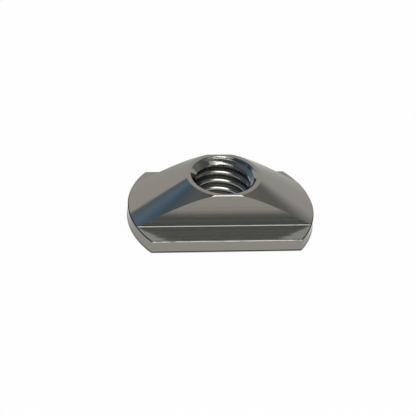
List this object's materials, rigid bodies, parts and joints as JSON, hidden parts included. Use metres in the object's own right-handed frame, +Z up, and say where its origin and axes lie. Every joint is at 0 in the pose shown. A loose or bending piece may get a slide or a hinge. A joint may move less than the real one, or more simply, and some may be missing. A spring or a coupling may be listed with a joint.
{
  "type": "t slot nut",
  "caption": "Slide-in T-slot nut: a thin flange with rounded ends and flat sides, and a coned neck with a tapped through hole for a machine screw.",
  "frame": {"origin": "centre of the flat underside, on the axis of the tapped hole", "axes": "+X along the slot, +Y across the slot, +Z up the hole's axis towards the screw's head"},
  "size_m": [0.0236, 0.0148, 0.0063],
  "materials": {
    "machined_metal": "fine machined, semi-bright, warm dark grey like bare stainless steel or titanium"
  },
  "bodies": {
    "root": {"nut": "machined_metal"}
  },
  "joints": []
}
